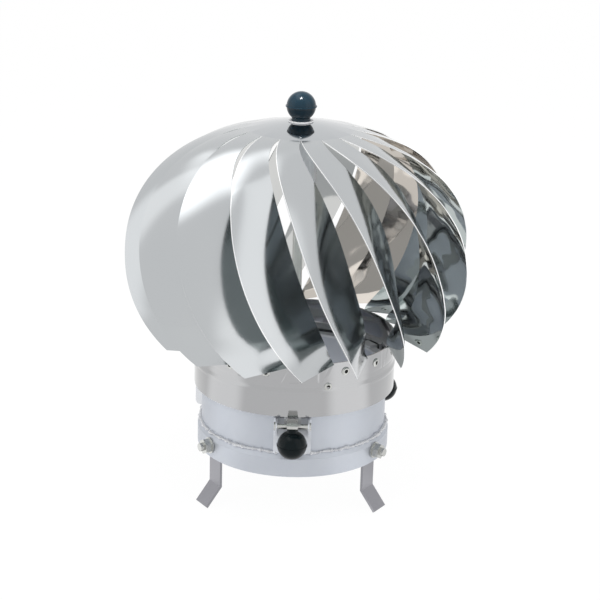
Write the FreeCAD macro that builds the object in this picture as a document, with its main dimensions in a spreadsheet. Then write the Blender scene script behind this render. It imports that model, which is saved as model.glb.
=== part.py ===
"""Rotating chimney cowl.

A head of sixteen spiral vanes spins on a fixed spindle. The spindle stands on a spider that rests on
the rim of a round base tube, and the whole head tilts up about a hinge for sweeping the flue. Two
ball-handled cams lock it down, and three strap legs grip the chimney pot.

The frame is Z up, in millimetres, on the axis of the flue, with z = 0 under the toes of the legs.
Azimuths are measured from the front (-Y) towards the right (+X).
"""

import FreeCAD, Part
import Sketcher

import math
import os

Vector = FreeCAD.Vector

DIMENSIONS = [
    ("TubeRadius", 91.3),
    ("TubeWall", 1.0),
    ("TubeHeight", 80.0),
    ("BandWidth", 3.8),
    ("BandWall", 1.2),
    ("BandHeight", 23.6),
    ("BandShoulder", 5.5),
    ("LegWidth", 20.0),
    ("LegThickness", 2.5),
    ("LegAzimuth", 57.0),
    ("LegInside", 30.0),
    ("LegStraight", 29.5),
    ("ToeLength", 24.0),
    ("ToeAngle", 39.5),
    ("BoltSize", 8.0),
    ("BoltLength", 20.0),
    ("BoltHeight", 12.2),
    ("BoltHeadFlats", 13.0),
    ("BoltHeadHeight", 5.3),
    ("NutHeight", 6.6),
    ("WasherRadius", 8.0),
    ("WasherThickness", 1.6),
    ("BoltClearance", 0.2),
    ("DrillReach", 10.0),
    ("SkirtGap", 7.6),
    ("SkirtBottom", 63.0),
    ("SkirtTop", 84.0),
    ("ShoulderHeight", 3.5),
    ("RingGap", 6.7),
    ("RingRim", 1.5),
    ("SheetThickness", 0.8),
    ("HeadRadius", 166.8),
    ("HeadMid", 192.8),
    ("CrownRise", 129.3),
    ("CrownPower", 2.23),
    ("TipOverhang", 37.2),
    ("BellyPower", 2.09),
    ("VaneCount", 16),
    ("SlotEndRadius", 50.9),
    ("VaneTipHeight", 112.0),
    ("VaneStart", -44.6),
    ("VaneSweep", 47.8),
    ("VaneSway", 1.9),
    ("VaneDepth", 44.6),
    ("VaneLead", 15.5),
    ("VaneFootLead", 3.8),
    ("VaneFootRise", 2.0),
    ("TabLead", 74.2),
    ("TabBefore", 24.0),
    ("TabAfter", 12.0),
    ("TabSlant", 9.5),
    ("TabHeight", 18.5),
    ("RivetDrop", 9.5),
    ("RivetSize", 4.0),
    ("RivetHeadRadius", 4.2),
    ("RivetCrownRadius", 2.3),
    ("RivetHeadHeight", 1.6),
    ("RivetTailRadius", 3.0),
    ("RivetTailHeight", 1.0),
    ("RivetTailGap", 0.05),
    ("SkirtRivetAzimuth", 19.3),
    ("SkirtRivetHeight", 92.5),
    ("SkirtRivetCount", 3),
    ("MandrelHole", 2.4),
    ("MandrelDepth", 1.2),
    ("CrownDish", 3.4),
    ("CrownFlatRadius", 20.0),
    ("CrownCreaseRadius", 45.5),
    ("CrownCreaseDrop", 1.7),
    ("CrownRimFlat", 1.0),
    ("RingPlateLap", 5.3),
    ("RingPlateOverhang", 3.2),
    ("RingPlateThickness", 2.5),
    ("ArmWidth", 16.0),
    ("ArmThickness", 3.0),
    ("ArmInset", 1.5),
    ("ArmAzimuth", 60.0),
    ("HubRadius", 13.0),
    ("HubHeight", 24.0),
    ("SpindleSize", 10.0),
    ("SpindleCollarRadius", 8.0),
    ("SpindleCollarHeight", 6.0),
    ("SpindleNutFlats", 17.0),
    ("SpindleNutHeight", 8.0),
    ("RunningFit", 0.05),
    ("HousingRadius", 16.0),
    ("HousingBore", 22.0),
    ("HousingDepth", 50.0),
    ("HousingEnd", 8.6),
    ("BushLength", 16.0),
    ("DiscThickness", 3.0),
    ("ClipRadius", 8.0),
    ("ClipThickness", 1.2),
    ("ClipGroove", 0.5),
    ("ClipGap", 0.3),
    ("StudSize", 8.0),
    ("CrownWasherRadius", 12.0),
    ("CrownWasherThickness", 1.5),
    ("BallRadius", 14.0),
    ("TopNeckRadius", 9.0),
    ("TopNeckLength", 16.9),
    ("LatchNeckRadius", 5.15),
    ("SeamHeight", 1.2),
    ("SeamProud", 0.4),
    ("PivotStandOff", 13.2),
    ("PivotHeight", 56.0),
    ("PinSize", 5.0),
    ("PinHeadRadius", 4.0),
    ("PinHeadHeight", 1.5),
    ("CamRadius", 7.5),
    ("ArmDrop", 5.0),
    ("CamGap", 0.3),
    ("LeverWidth", 10.3),
    ("StemSize", 8.0),
    ("StemOffset", 8.5),
    ("BallDrop", 15.0),
    ("PlateWidth", 36.0),
    ("PlateThickness", 1.5),
    ("PlateTop", 60.0),
    ("CheekOffset", 14.5),
    ("TongueWidth", 16.0),
    ("TongueThickness", 2.0),
    ("TongueBottom", 51.0),
    ("TongueInset", 1.0),
    ("KnuckleRadius", 4.5),
    ("KnuckleWidth", 20.0),
    ("KnuckleGap", 0.4),
    ("HingeCheekDrop", 39.0),
    ("HingeCheekGap", 1.4),
    ("CheekChamfer", 3.0),
    ("LatchAzimuth", 125.0),
    ("SideLatchDrop", 9.0),
    ("HingeAzimuth", 240.0),
]

doc = FreeCAD.newDocument("ChimneyCowl")
sheet = doc.addObject("Spreadsheet::Sheet", "Dims")
for row, (alias, number) in enumerate(DIMENSIONS, start=1):
    sheet.set("A%d" % row, alias)
    sheet.set("B%d" % row, str(number))
    sheet.setAlias("B%d" % row, alias)
doc.recompute()


def expand(text):
    """Turn the short form, where a size is written as its bare alias, into a sheet expression."""
    for alias, _ in sorted(DIMENSIONS, key=lambda item: -len(item[0])):
        text = text.replace("@" + alias, "Dims." + alias)
    return text


def value(text):
    """The number that an expression gives now."""
    result = sheet.evalExpression(expand(text))
    return float(getattr(result, "Value", result))


# Heights and radii that several pieces share, as expressions of the sheet
BASE = "(@LegStraight + @ToeLength * cos(@ToeAngle) + @LegThickness * sin(@ToeAngle))"
TUBE_INNER = "(@TubeRadius - @TubeWall)"
BAND_RADIUS = "(@TubeRadius + @BandWidth)"
SKIRT_RADIUS = "(@TubeRadius + @SkirtGap)"
RING_RADIUS = "(@TubeRadius + @RingGap)"
RING_PLATE_INNER = "(@TubeRadius - @RingPlateLap)"
RING_PLATE_OUTER = "(@TubeRadius + @RingPlateOverhang)"
PIVOT_RADIUS = "(@TubeRadius + @PivotStandOff)"
TIP_RADIUS = f"({RING_RADIUS} + @TipOverhang)"
FOOT_HEIGHT = "(@VaneTipHeight + @VaneFootRise)"
RING_TOP = f"({FOOT_HEIGHT} + @RingRim)"
RIVET_HEIGHT = f"({RING_TOP} - @RivetDrop)"
BELLY_DROP = (
    f"((@HeadMid - @VaneTipHeight) / (1 - ({TIP_RADIUS} / @HeadRadius) ^ @BellyPower) ^ (1 / @BellyPower))"
)
STRAP_FACE = f"sqrt({TUBE_INNER} ^ 2 - @LegWidth ^ 2 / 4)"
TUBE_TOP = f"({BASE} + @TubeHeight)"
PLATE_FACE = "(@TubeRadius + @PlateThickness)"
RING_PLATE_TOP = f"({TUBE_TOP} + @RingPlateThickness)"
SLOT_HEIGHT = (
    f"({BASE} + @HeadMid + @CrownRise"
    " * (1 - (@SlotEndRadius / @HeadRadius) ^ @CrownPower) ^ (1 / @CrownPower))"
)
CROWN_TOP = f"({SLOT_HEIGHT} + @CrownDish)"
HOUSING_TOP = f"({CROWN_TOP} - @SheetThickness)"
HOUSING_BOTTOM = f"({HOUSING_TOP} - @HousingEnd - @HousingDepth)"
DISC_BOTTOM = f"({HOUSING_TOP} - @HousingEnd - @DiscThickness)"
BALL_HEIGHT = f"({CROWN_TOP} + @CrownWasherThickness + @TopNeckLength)"
PIVOT_Z = f"({BASE} + @PivotHeight)"
STEM_RADIUS = f"({PIVOT_RADIUS} + @StemOffset)"
TONGUE_OUTER = f"({PIVOT_RADIUS} - @CamRadius - @CamGap)"
TONGUE_INNER = f"({TONGUE_OUTER} - @TongueThickness)"
TONGUE_FOOT = f"({RING_PLATE_TOP} + @TongueThickness)"
FOOT_INNER = f"({RING_PLATE_INNER} + @TongueInset)"
FOOT_LENGTH = f"({TONGUE_OUTER} - {FOOT_INNER})"
BOLT_HOLE = "(@BoltSize / 2 + @BoltClearance)"
BOLT_Z = f"({BASE} + @BoltHeight)"
LEG_AZIMUTHS = {"left": "-@LegAzimuth", "right": "@LegAzimuth", "rear": "180"}
ARM_AZIMUTHS = ("@ArmAzimuth", "@ArmAzimuth + 120", "@ArmAzimuth + 240")


def origin(body, role):
    return [feature for feature in body.Origin.OriginFeatures if feature.Role == role][0]


def outline(body, role, points):
    """A closed sketch of straight edges whose corners are bound to the sheet."""
    sketch = body.newObject("Sketcher::SketchObject", body.Name + "_outline")
    sketch.AttachmentSupport = [(origin(body, role), "")]
    sketch.MapMode = "FlatFace"
    corners = [Vector(value(across), value(up), 0) for across, up in points]
    count = len(corners)
    for index in range(count):
        sketch.addGeometry(Part.LineSegment(corners[index], corners[(index + 1) % count]))
    for index in range(count):
        sketch.addConstraint(Sketcher.Constraint("Coincident", index, 2, (index + 1) % count, 1))
    for index, (across, up) in enumerate(points):
        corner = corners[index]
        for kind, number, text in (("DistanceX", corner.x, across), ("DistanceY", corner.y, up)):
            constraint = sketch.addConstraint(Sketcher.Constraint(kind, -1, 1, index, 1, number))
            sketch.setExpression("Constraints[%d]" % constraint, expand(text))
    return sketch


def revolved(name, points):
    """A turned piece: the outline holds radius and height, and goes once round the Z axis."""
    body = doc.addObject("PartDesign::Body", name)
    sketch = outline(body, "XZ_Plane", points)
    turn = body.newObject("PartDesign::Revolution", name + "_turn")
    turn.Profile = sketch
    turn.ReferenceAxis = (origin(body, "Z_Axis"), [""])
    turn.Angle = 360
    return body


def extruded(name, points, width, middle="0"):
    """A plate cut along the radial plane, as wide as width across it and centred at middle."""
    body = doc.addObject("PartDesign::Body", name)
    pad = body.newObject("PartDesign::Pad", name + "_pad")
    pad.Profile = outline(body, "XZ_Plane", points)
    body.Tip = pad
    pad.Midplane = True
    pad.setExpression("Length", expand(width))
    body.setExpression("Placement.Base.y", expand(middle))
    return body


AXES = {
    "X": FreeCAD.Rotation(Vector(0, 1, 0), 90),
    "Y": FreeCAD.Rotation(Vector(1, 0, 0), -90),
    "Z": FreeCAD.Rotation(),
}


def place(item, spot):
    for letter, text in zip("xyz", spot):
        item.setExpression("Placement.Base." + letter, expand(text))
    return item


def cylinder(name, radius, length, spot=("0", "0", "0"), axis="Z"):
    item = doc.addObject("Part::Cylinder", name)
    item.Placement = FreeCAD.Placement(Vector(), AXES[axis])
    item.setExpression("Radius", expand(radius))
    item.setExpression("Height", expand(length))
    return place(item, spot)


def hexagon(name, flats, length, spot=("0", "0", "0"), axis="Z"):
    item = doc.addObject("Part::Prism", name)
    item.Polygon = 6
    item.Placement = FreeCAD.Placement(Vector(), AXES[axis])
    item.setExpression("Circumradius", expand(f"{flats} / 2 / cos(30)"))
    item.setExpression("Height", expand(length))
    return place(item, spot)


def box(name, sizes, spot):
    item = doc.addObject("Part::Box", name)
    for side, text in zip(("Length", "Width", "Height"), sizes):
        item.setExpression(side, expand(text))
    return place(item, spot)


def fused(name, pieces):
    item = doc.addObject("Part::MultiFuse", name)
    item.Shapes = pieces
    return item


def cut(name, base, tool):
    item = doc.addObject("Part::Cut", name)
    item.Base = base
    item.Tool = tool
    return item


def group(name, pieces):
    item = doc.addObject("Part::Compound", name)
    item.Links = pieces
    return item


def turned_to(item, azimuth):
    """Swing a piece that was built along +X to its azimuth."""
    turn = f"rotation(vector(0; 0; 1); {azimuth} - 90)"
    item.setExpression("Placement", expand(f"placement(vector(0; 0; 0); {turn})"))
    return item


nodes = []


def keep(item, label):
    item.Label = label
    nodes.append(item)
    return item


def radial_drills(name, radius, wall, height, azimuths):
    """Drills through a wall of that radius, one at each azimuth."""
    drills = []
    for index, azimuth in enumerate(azimuths):
        drill = cylinder(f"{name}_{index}", radius, "2 * @DrillReach",
                         (f"{wall} - @DrillReach", "0", height), "X")
        holder = group(f"{name}_{index}_turned", [drill])
        drills.append(turned_to(holder, azimuth))
    return group(name, drills)


def base_tube():
    shell = revolved("tube_shell", [
        (TUBE_INNER, BASE),
        ("@TubeRadius", BASE),
        ("@TubeRadius", TUBE_TOP),
        (TUBE_INNER, TUBE_TOP),
    ])
    drills = radial_drills("tube_drills", BOLT_HOLE, "@TubeRadius", BOLT_Z, LEG_AZIMUTHS.values())
    keep(cut("base_tube_cut", shell, drills), "base_tube")


def base_band():
    """A folded channel round the foot of the tube, whose top slopes up to the tube as a shoulder."""
    top = f"({BASE} + @BandHeight)"
    inner = f"({BAND_RADIUS} - @BandWall)"
    slope = "(@BandShoulder / @BandWidth)"
    wall_drop = f"(@BandWall * sqrt(1 + {slope} ^ 2))"
    channel = revolved("band_channel", [
        ("@TubeRadius", BASE),
        (BAND_RADIUS, BASE),
        (BAND_RADIUS, f"({top} - @BandShoulder)"),
        ("@TubeRadius", top),
        ("@TubeRadius", f"({top} - {wall_drop})"),
        (inner, f"({top} - {slope} * (@BandWidth - @BandWall) - {wall_drop})"),
        (inner, f"({BASE} + @BandWall)"),
        ("@TubeRadius", f"({BASE} + @BandWall)"),
    ])
    drills = radial_drills("band_drills", BOLT_HOLE, BAND_RADIUS, BOLT_Z, LEG_AZIMUTHS.values())
    keep(cut("base_band_cut", channel, drills), "base_band")


def legs():
    """Flat straps whose long edges bear on the inside of the tube, with the toe bent out under its foot."""
    bend = f"({BASE} - @LegStraight)"
    inner = f"({STRAP_FACE} - @LegThickness)"
    toe_x = f"({STRAP_FACE} + @ToeLength * sin(@ToeAngle))"
    toe_z = f"({bend} - @ToeLength * cos(@ToeAngle))"
    for side, azimuth in LEG_AZIMUTHS.items():
        strap = extruded(f"strap_{side}", [
            (inner, f"({BASE} + @LegInside)"),
            (STRAP_FACE, f"({BASE} + @LegInside)"),
            (STRAP_FACE, bend),
            (toe_x, toe_z),
            (f"({toe_x} - @LegThickness * cos(@ToeAngle))", f"({toe_z} - @LegThickness * sin(@ToeAngle))"),
            (inner, f"({bend} - @LegThickness * tan(@ToeAngle / 2))"),
        ], "@LegWidth")
        drill = cylinder(f"strap_drill_{side}", BOLT_HOLE, "2 * @DrillReach",
                         (f"{inner} - @DrillReach", "0", BOLT_Z), "X")
        keep(turned_to(cut(f"leg_{side}_cut", strap, drill), azimuth), f"leg_{side}")


def leg_fasteners():
    """A hexagon bolt from inside at each leg, with its washer and nut outside the band."""
    head_face = f"({STRAP_FACE} - @LegThickness)"
    nut_face = f"({BAND_RADIUS} + @WasherThickness)"
    bolts, washers, nuts = [], [], []
    for side, azimuth in LEG_AZIMUTHS.items():
        head = hexagon(f"bolt_head_{side}", "@BoltHeadFlats", "@BoltHeadHeight",
                       (f"{head_face} - @BoltHeadHeight", "0", BOLT_Z), "X")
        shank = cylinder(f"bolt_shank_{side}", "@BoltSize / 2", "@BoltLength", (head_face, "0", BOLT_Z), "X")
        bolts.append(turned_to(fused(f"bolt_{side}", [head, shank]), azimuth))
        blank = cylinder(f"washer_blank_{side}", "@WasherRadius", "@WasherThickness",
                         (BAND_RADIUS, "0", BOLT_Z), "X")
        eye = cylinder(f"washer_eye_{side}", BOLT_HOLE, "@WasherThickness", (BAND_RADIUS, "0", BOLT_Z), "X")
        washers.append(turned_to(cut(f"washer_{side}", blank, eye), azimuth))
        hexa = hexagon(f"nut_blank_{side}", "@BoltHeadFlats", "@NutHeight", (nut_face, "0", BOLT_Z), "X")
        bore = cylinder(f"nut_bore_{side}", "@BoltSize / 2", "@NutHeight", (nut_face, "0", BOLT_Z), "X")
        nuts.append(turned_to(cut(f"nut_{side}", hexa, bore), azimuth))
    keep(group("leg_bolts_group", bolts), "leg_bolts")
    keep(group("leg_washers_group", washers), "leg_washers")
    keep(group("leg_nuts_group", nuts), "leg_nuts")


def pivot_bracket(label, azimuth, cheek_outline, cheek_offset, drop="0"):
    """A plate on the tube, on top of the band, with two cheeks that carry a pivot pin."""
    plate = box(f"{label}_plate", ("@PlateThickness", "@PlateWidth", f"@PlateTop - @BandHeight - {drop}"),
                ("@TubeRadius", "-@PlateWidth / 2", f"{BASE} + @BandHeight"))
    cheeks = [
        extruded(f"{label}_cheek_{side}", cheek_outline, "@PlateThickness",
                 f"{sign} * ({cheek_offset} + @PlateThickness / 2)")
        for side, sign in (("left", "-1"), ("right", "1"))
    ]
    hole = cylinder(f"{label}_hole", "@PinSize / 2", "@PlateWidth * 2",
                    (PIVOT_RADIUS, "-@PlateWidth", f"{PIVOT_Z} - {drop}"), "Y")
    keep(turned_to(cut(f"{label}_cut", fused(f"{label}_blank", [plate] + cheeks), hole), azimuth), label)


def pivot_pin(label, azimuth, cheek_offset, drop="0"):
    half = f"({cheek_offset} + @PlateThickness)"
    height = f"({PIVOT_Z} - {drop})"
    shank = cylinder(f"{label}_shank", "@PinSize / 2", f"2 * {half}",
                     (PIVOT_RADIUS, f"-{half}", height), "Y")
    near = cylinder(f"{label}_near", "@PinHeadRadius", "@PinHeadHeight",
                    (PIVOT_RADIUS, f"-{half} - @PinHeadHeight", height), "Y")
    far = cylinder(f"{label}_far", "@PinHeadRadius", "@PinHeadHeight", (PIVOT_RADIUS, half, height), "Y")
    keep(turned_to(fused(f"{label}_fuse", [shank, near, far]), azimuth), label)


def ball_knob(name, neck_radius, neck_length, bore_size):
    """A moulded ball with its parting bead and a neck along +Z, bored from the neck to the middle."""
    ball = doc.addObject("Part::Sphere", f"{name}_ball")
    ball.setExpression("Radius", expand("@BallRadius"))
    bead = cylinder(f"{name}_bead", "@BallRadius + @SeamProud", "@SeamHeight", ("0", "0", "-@SeamHeight / 2"))
    neck = cylinder(f"{name}_neck", neck_radius, neck_length)
    bore = cylinder(f"{name}_bore", f"{bore_size} / 2", neck_length)
    return cut(f"{name}_cut", fused(f"{name}_blank", [ball, bead, neck]), bore)


def latch(side, azimuth, drop):
    """A cam lever with a ball handle, which presses a tongue of the spider against the tube."""
    plate_top = f"({BASE} + @PlateTop - {drop})"
    pivot_z = f"({PIVOT_Z} - {drop})"
    ball_z = f"({pivot_z} - @BallDrop)"
    cheek = [
        (PLATE_FACE, plate_top),
        (f"{PIVOT_RADIUS} + @PinSize / 2", plate_top),
        (f"{PIVOT_RADIUS} + @PinSize", pivot_z),
        (f"{PIVOT_RADIUS} + @PinSize / 2", f"{pivot_z} - @PinSize"),
        (PLATE_FACE, f"{pivot_z} - 3 * @PinSize"),
    ]
    pivot_bracket(f"latch_plate_{side}", azimuth, cheek, "@CheekOffset", drop)
    pivot_pin(f"latch_pin_{side}", azimuth, "@CheekOffset", drop)

    tongue_bottom = f"({BASE} + @TongueBottom - {drop})"
    blade = box(f"tongue_blade_{side}",
                ("@TongueThickness", "@TongueWidth", f"{TONGUE_FOOT} - {tongue_bottom}"),
                (TONGUE_INNER, "-@TongueWidth / 2", tongue_bottom))
    foot = box(f"tongue_foot_{side}", (FOOT_LENGTH, "@TongueWidth", "@TongueThickness"),
               (FOOT_INNER, "-@TongueWidth / 2", RING_PLATE_TOP))
    keep(turned_to(fused(f"latch_tongue_{side}_fuse", [blade, foot]), azimuth), f"latch_tongue_{side}")

    half = "-@LeverWidth / 2"
    cam = cylinder(f"cam_{side}", "@CamRadius", "@LeverWidth", (PIVOT_RADIUS, half, pivot_z), "Y")
    arm_under = f"({pivot_z} + @CamRadius - @ArmDrop)"
    arm = extruded(f"arm_{side}", [
        (PIVOT_RADIUS, f"{pivot_z} + @CamRadius"),
        (f"{STEM_RADIUS} - @StemSize / 2", f"{pivot_z} + @CamRadius"),
        (STEM_RADIUS, f"{pivot_z} + @CamRadius - @ArmDrop * 0.15"),
        (f"{STEM_RADIUS} + @StemSize / 3", f"{pivot_z} + @CamRadius - @ArmDrop * 0.55"),
        (f"{STEM_RADIUS} + @StemSize / 2", arm_under),
        (PIVOT_RADIUS, arm_under),
    ], "@LeverWidth")
    notch = box(f"notch_{side}", ("@CamRadius", "@LeverWidth * 2", "@CamRadius * 2"),
                (f"{STEM_RADIUS} - @LatchNeckRadius", "-@LeverWidth", f"{arm_under} - @CamRadius * 2"))
    stem = cylinder(f"stem_{side}", "@StemSize / 2", f"{arm_under} - {ball_z}", (STEM_RADIUS, "0", ball_z))
    eye = cylinder(f"lever_eye_{side}", "@PinSize / 2 + @RunningFit", "@LeverWidth",
                   (PIVOT_RADIUS, half, pivot_z), "Y")
    scoop = doc.addObject("Part::Sphere", f"scoop_{side}")
    scoop.setExpression("Radius", expand("@BallRadius + @RunningFit"))
    place(scoop, (STEM_RADIUS, "0", ball_z))
    blank = cut(f"lever_blank_{side}", fused(f"lever_cam_and_arm_{side}", [cam, arm]),
                group(f"lever_clearance_{side}", [notch, scoop]))
    lever = cut(f"lever_cut_{side}", fused(f"lever_fuse_{side}", [blank, stem]), eye)
    keep(turned_to(lever, azimuth), f"latch_lever_{side}")

    knob = ball_knob(f"latch_knob_{side}", "@LatchNeckRadius", f"{arm_under} - {ball_z}", "@StemSize")
    place(knob, (f"{STEM_RADIUS} * sin({azimuth})", f"-{STEM_RADIUS} * cos({azimuth})", ball_z))
    keep(knob, f"latch_knob_{side}")


def hinge():
    """The bracket on the base, its pin, and the leaf that lifts with the spider."""
    outer = f"({PIVOT_RADIUS} + @KnuckleRadius)"
    band_clear = f"({BAND_RADIUS} + @HingeCheekGap)"
    ledge_clear = f"({BASE} + @BandHeight + @HingeCheekGap)"
    top = f"({BASE} + @PlateTop)"
    drop = f"({PIVOT_Z} - @HingeCheekDrop)"
    cheek = [
        (PLATE_FACE, top),
        (f"{outer} - @CheekChamfer", top),
        (outer, f"{top} - @CheekChamfer"),
        (outer, f"{drop} + @CheekChamfer"),
        (f"{outer} - @CheekChamfer", drop),
        (band_clear, drop),
        (band_clear, ledge_clear),
        (PLATE_FACE, ledge_clear),
    ]
    offset = "(@KnuckleWidth / 2 + @KnuckleGap)"
    pivot_bracket("hinge_bracket", "@HingeAzimuth", cheek, offset)
    pivot_pin("hinge_pin", "@HingeAzimuth", offset)

    under = f"({PIVOT_Z} - @TongueThickness / 2)"
    blade = box("leaf_blade", ("@TongueThickness", "@TongueWidth", f"{TONGUE_FOOT} - {under}"),
                (TONGUE_INNER, "-@TongueWidth / 2", under))
    foot = box("leaf_foot", (FOOT_LENGTH, "@TongueWidth", "@TongueThickness"),
               (FOOT_INNER, "-@TongueWidth / 2", RING_PLATE_TOP))
    reach = box("leaf_reach", (f"{PIVOT_RADIUS} - {TONGUE_INNER}", "@TongueWidth", "@TongueThickness"),
                (TONGUE_INNER, "-@TongueWidth / 2", under))
    knuckle = cylinder("leaf_knuckle", "@KnuckleRadius", "@KnuckleWidth",
                       (PIVOT_RADIUS, "-@KnuckleWidth / 2", PIVOT_Z), "Y")
    bore = cylinder("leaf_bore", "@PinSize / 2 + @RunningFit", "@KnuckleWidth",
                    (PIVOT_RADIUS, "-@KnuckleWidth / 2", PIVOT_Z), "Y")
    leaf = cut("hinge_leaf_cut", fused("leaf_blank", [blade, foot, reach, knuckle]), bore)
    keep(turned_to(leaf, "@HingeAzimuth"), "hinge_leaf")


def spider():
    """The ring that lies on the rim of the tube, its three arms and the hub of the spindle."""
    keep(revolved("spider_ring_body", [
        (RING_PLATE_INNER, TUBE_TOP),
        (RING_PLATE_OUTER, TUBE_TOP),
        (RING_PLATE_OUTER, RING_PLATE_TOP),
        (RING_PLATE_INNER, RING_PLATE_TOP),
    ]), "spider_ring")
    for index, azimuth in enumerate(ARM_AZIMUTHS, start=1):
        bar = box(f"arm_bar_{index}", (f"{RING_PLATE_OUTER} - @ArmInset", "@ArmWidth", "@ArmThickness"),
                  ("0", "-@ArmWidth / 2", RING_PLATE_TOP))
        core = cylinder(f"arm_core_{index}", "@HubRadius", "@ArmThickness", ("0", "0", RING_PLATE_TOP))
        keep(turned_to(cut(f"spider_arm_{index}_cut", bar, core), azimuth), f"spider_arm_{index}")
    keep(revolved("spider_hub_body", [
        ("@SpindleSize / 2", TUBE_TOP),
        ("@HubRadius", TUBE_TOP),
        ("@HubRadius", f"{TUBE_TOP} + @HubHeight"),
        ("@SpindleSize / 2", f"{TUBE_TOP} + @HubHeight"),
    ]), "spider_hub")


def spindle():
    radius = "(@SpindleSize / 2)"
    foot = f"({TUBE_TOP} - @SpindleNutHeight)"
    collar = f"({TUBE_TOP} + @HubHeight)"
    clip_top = f"({HOUSING_BOTTOM} - @ClipGap)"
    clip_bottom = f"({clip_top} - @ClipThickness)"
    top = f"({DISC_BOTTOM} - @RunningFit)"
    groove = f"({radius} - @ClipGroove)"
    keep(revolved("spindle_body", [
        ("0", foot),
        (radius, foot),
        (radius, collar),
        ("@SpindleCollarRadius", collar),
        ("@SpindleCollarRadius", f"{collar} + @SpindleCollarHeight"),
        (radius, f"{collar} + @SpindleCollarHeight"),
        (radius, clip_bottom),
        (groove, clip_bottom),
        (groove, clip_top),
        (radius, clip_top),
        (radius, top),
        ("0", top),
    ]), "spindle")
    keep(revolved("retaining_ring_body", [
        (groove, clip_bottom),
        ("@ClipRadius", clip_bottom),
        ("@ClipRadius", clip_top),
        (groove, clip_top),
    ]), "retaining_ring")
    blank = hexagon("spindle_nut_blank", "@SpindleNutFlats", "@SpindleNutHeight", ("0", "0", foot))
    bore = cylinder("spindle_nut_bore", radius, "@SpindleNutHeight", ("0", "0", foot))
    keep(cut("spindle_nut_cut", blank, bore), "spindle_nut")


def bearing_housing():
    bore = "(@HousingBore / 2)"
    floor = f"({HOUSING_TOP} - @HousingEnd)"
    keep(revolved("housing_body", [
        ("@StudSize / 2", HOUSING_TOP),
        ("@HousingRadius", HOUSING_TOP),
        ("@HousingRadius", HOUSING_BOTTOM),
        (bore, HOUSING_BOTTOM),
        (bore, floor),
        ("@StudSize / 2", floor),
    ]), "bearing_housing")
    for label, bottom in (("lower_bush", HOUSING_BOTTOM), ("upper_bush", f"({DISC_BOTTOM} - @BushLength)")):
        keep(revolved(label + "_body", [
            ("@SpindleSize / 2 + @RunningFit", bottom),
            (bore, bottom),
            (bore, f"{bottom} + @BushLength"),
            ("@SpindleSize / 2 + @RunningFit", f"{bottom} + @BushLength"),
        ]), label)
    keep(cylinder("thrust_disc_body", bore, "@DiscThickness", ("0", "0", DISC_BOTTOM)), "thrust_disc")


def crown():
    """The middle of the head pressing, out to the ends of the slots between the vanes."""
    eye = "(@StudSize / 2 + @BoltClearance)"
    flat = "(@SlotEndRadius * cos(180 / @VaneCount) - @CrownRimFlat)"
    edge = "(@SlotEndRadius + @CrownRimFlat)"
    crease = f"({CROWN_TOP} - @CrownCreaseDrop)"
    dish = revolved("crown_dish", [
        (eye, CROWN_TOP),
        ("@CrownFlatRadius", CROWN_TOP),
        ("@CrownCreaseRadius", crease),
        (flat, SLOT_HEIGHT),
        (edge, SLOT_HEIGHT),
        (edge, f"{SLOT_HEIGHT} - @SheetThickness"),
        (flat, f"{SLOT_HEIGHT} - @SheetThickness"),
        ("@CrownCreaseRadius", f"{crease} - @SheetThickness"),
        ("@CrownFlatRadius", f"{CROWN_TOP} - @SheetThickness"),
        (eye, f"{CROWN_TOP} - @SheetThickness"),
    ])
    facets = doc.addObject("Part::Prism", "crown_facets")
    facets.setExpression("Polygon", "Dims.VaneCount")
    facets.setExpression("Circumradius", "Dims.SlotEndRadius")
    facets.setExpression("Height", expand(f"{CROWN_TOP} + @SheetThickness"))
    turned_to(facets, "@VaneStart")
    common = doc.addObject("Part::Common", "crown_common")
    common.Base = dish
    common.Tool = facets
    keep(common, "crown")


def top_fittings():
    seat = f"({CROWN_TOP} + @CrownWasherThickness)"
    stud_bottom = f"({HOUSING_TOP} - @HousingEnd)"
    keep(cylinder("top_stud_body", "@StudSize / 2", f"{seat} + @TopNeckLength - {stud_bottom}",
                  ("0", "0", stud_bottom)), "top_stud")
    keep(revolved("crown_washer_body", [
        ("@StudSize / 2 + @BoltClearance", CROWN_TOP),
        ("@CrownWasherRadius", CROWN_TOP),
        ("@CrownWasherRadius", seat),
        ("@StudSize / 2 + @BoltClearance", seat),
    ]), "crown_washer")
    knob = ball_knob("top_knob", "@TopNeckRadius", "@TopNeckLength", "@StudSize")
    knob.Placement = FreeCAD.Placement(Vector(), FreeCAD.Rotation(Vector(1, 0, 0), 180))
    knob.setExpression("Placement.Base.z", expand(BALL_HEIGHT))
    keep(knob, "top_knob")


def spaced(count_alias, first):
    """Azimuths of evenly spaced pieces, as expressions."""
    count = int(round(value(count_alias)))
    return [f"{first} + {index} * 360 / {count_alias}" for index in range(count)]


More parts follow.
